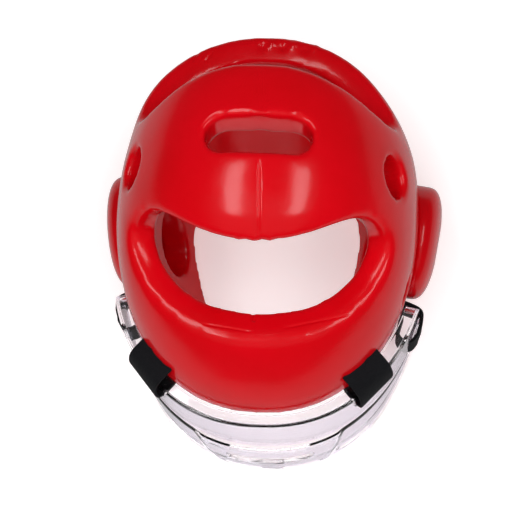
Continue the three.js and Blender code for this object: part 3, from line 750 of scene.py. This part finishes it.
for side, sign in {"left": 1, "right": -1}.items():
    arc = np.array([sign * FRONT_STRAP_REACH])
    here, out = brow_place(arc, np.zeros(1))[0], brow_place(arc, np.ones(1) * 0.01)[0]
    away = (out - here) / np.linalg.norm(out - here)
    wall = STAND_OFF + (REAR_STAND_OFF - STAND_OFF) * smoothstep(FRONT_STRAP_REACH, 0, MASK_REACH)
    outside = wall + DRAFT + STRAP_GAP + STRAP_THICKNESS / 2
    bend = STRAP_SLOT / 2
    corners = [
        (-SLIT_DEPTH, SLIT_LEVEL), (-SLIT_DEPTH / 2, SLIT_LEVEL), (0, SLIT_LEVEL - STRAP_THICKNESS),
        (outside * 0.7, (SLIT_LEVEL + LIP) / 2 + STRAP_THICKNESS), (outside, LIP + STRAP_THICKNESS),
        (outside, FRONT_SLOT_LEVEL + 2 * bend), (outside - bend, FRONT_SLOT_LEVEL),
        (wall - WALL - bend, FRONT_SLOT_LEVEL), (-STRAP_THICKNESS, FRONT_SLOT_LEVEL + 2 * bend),
        (-STRAP_THICKNESS - MASK_GAP, LIP - 2 * STRAP_GAP),
    ]
    line = smooth_path(corners, STRAP_STEPS)
    path = np.column_stack([here + line[:, :1] * away, line[:, 1]])
    strap(f"front_tape_{side}", f"strap_front_{side}", path, (-away[1], away[0], 0), FRONT_STRAP_WIDTH)

    wall = STAND_OFF + (REAR_STAND_OFF - STAND_OFF) * smoothstep(SIDE_SLOT_REACH, 0, MASK_REACH)
    outside = wall + DRAFT + STRAP_GAP + STRAP_THICKNESS / 2
    within = -STRAP_THICKNESS / 2
    bend = (outside - within) / 2
    route = [
        (SIDE_SLIT_REACH, -SLIT_DEPTH - bend), (SIDE_SLIT_REACH, -SLIT_DEPTH / 2 - bend),
        (SIDE_SLIT_REACH, -bend), (SIDE_SLIT_REACH - bend / 2, outside - bend / 2),
        (MASK_REACH - bend / 2, outside), ((MASK_REACH + SIDE_SLOT_REACH) / 2, outside),
        (SIDE_SLOT_REACH + bend, outside), (SIDE_SLOT_REACH + bend * 0.3, outside - bend * 0.3),
        (SIDE_SLOT_REACH, outside - bend), (SIDE_SLOT_REACH + bend * 0.3, within + bend * 0.3),
        (SIDE_SLOT_REACH + bend, within), (SIDE_SLOT_REACH + 3 * bend, within - STRAP_GAP),
    ]
    plan = [brow_place(np.array([sign * reach]), np.array([offset]))[0] for reach, offset in route]
    line = smooth_path(plan, STRAP_STEPS)
    path = np.column_stack([line, np.full(len(line), SIDE_STRAP_LEVEL)])
    strap(f"side_tape_{side}", f"strap_side_{side}", path, (0, 0, 1), SIDE_STRAP_WIDTH)


# The floor and the light: a bright white sweep, a broad soft light overhead for the colour, and two long
# soft boxes over the crown for the gloss. What gloss mirrors of the floor and the room is dimmed.
FLOOR_GLOW, FLOOR_WHITE = 0.35, 0.94
FLOOR_IN_GLOSS = 0.45
ROOM_SEEN, ROOM_IN_GLOSS = 0.9, 0.06
bpy.ops.object.select_all(action="DESELECT")
bpy.ops.mesh.primitive_plane_add(size=6, location=(0, 0, 0))
floor = bpy.context.active_object
floor.name = "floor"
pale, wiring, shader = new_material("pale_floor")
ray = wiring.node("ShaderNodeLightPath")
mirrored = wiring.sum(ray.outputs["Is Glossy Ray"], ray.outputs["Is Transmission Ray"], "SUBTRACT")
shown = wiring.remap(mirrored, 0.0, 1.0, FLOOR_WHITE, FLOOR_WHITE * FLOOR_IN_GLOSS)
pale.node_tree.links.new(shown, shader.inputs["Base Color"])
lit = wiring.remap(mirrored, 0.0, 1.0, FLOOR_GLOW, FLOOR_GLOW * FLOOR_IN_GLOSS)
pale.node_tree.links.new(lit, shader.inputs["Emission Strength"])
shader.inputs["Roughness"].default_value = 0.9
shader.inputs["Specular IOR Level"].default_value = 0.1
shader.inputs["Emission Color"].default_value = (1, 1, 1, 1)
floor.data.materials.append(pale)

world = bpy.data.worlds.new("studio")
world.use_nodes = True
room = Wiring(world.node_tree)
ray = room.node("ShaderNodeLightPath")
seen = room.sum(ray.outputs["Is Transmission Ray"], ray.outputs["Is Camera Ray"])
glow = room.remap(seen, 0.0, 1.0, ROOM_IN_GLOSS, ROOM_SEEN)
world.node_tree.links.new(glow, world.node_tree.nodes["Background"].inputs["Strength"])
world.node_tree.nodes["Background"].inputs["Color"].default_value = (1, 1, 1, 1)
bpy.context.scene.world = world


def soft_box(name, place, target, width, height, power, in_gloss=True):
    light = bpy.data.lights.new(name, "AREA")
    light.shape = "RECTANGLE"
    light.size, light.size_y, light.energy = width, height, power
    holder = bpy.data.objects.new(name, light)
    holder.location = place
    holder.rotation_euler = (Vector(target) - Vector(place)).to_track_quat("-Z", "Y").to_euler()
    holder.visible_glossy = in_gloss
    bpy.context.collection.objects.link(holder)


soft_box("broad_light", (0.0, -0.6, 1.35), (0, 0, 0.1), 1.7, 1.7, 18, in_gloss=False)
soft_box("soft_box_left", (-0.33, 0.15, 1.3), (-0.33, 0.15, 0), 0.20, 0.9, 4.4)
soft_box("soft_box_right", (0.47, 0.15, 1.3), (0.47, 0.15, 0), 0.24, 0.9, 4.8)
bpy.context.scene.view_settings.view_transform = "Standard"
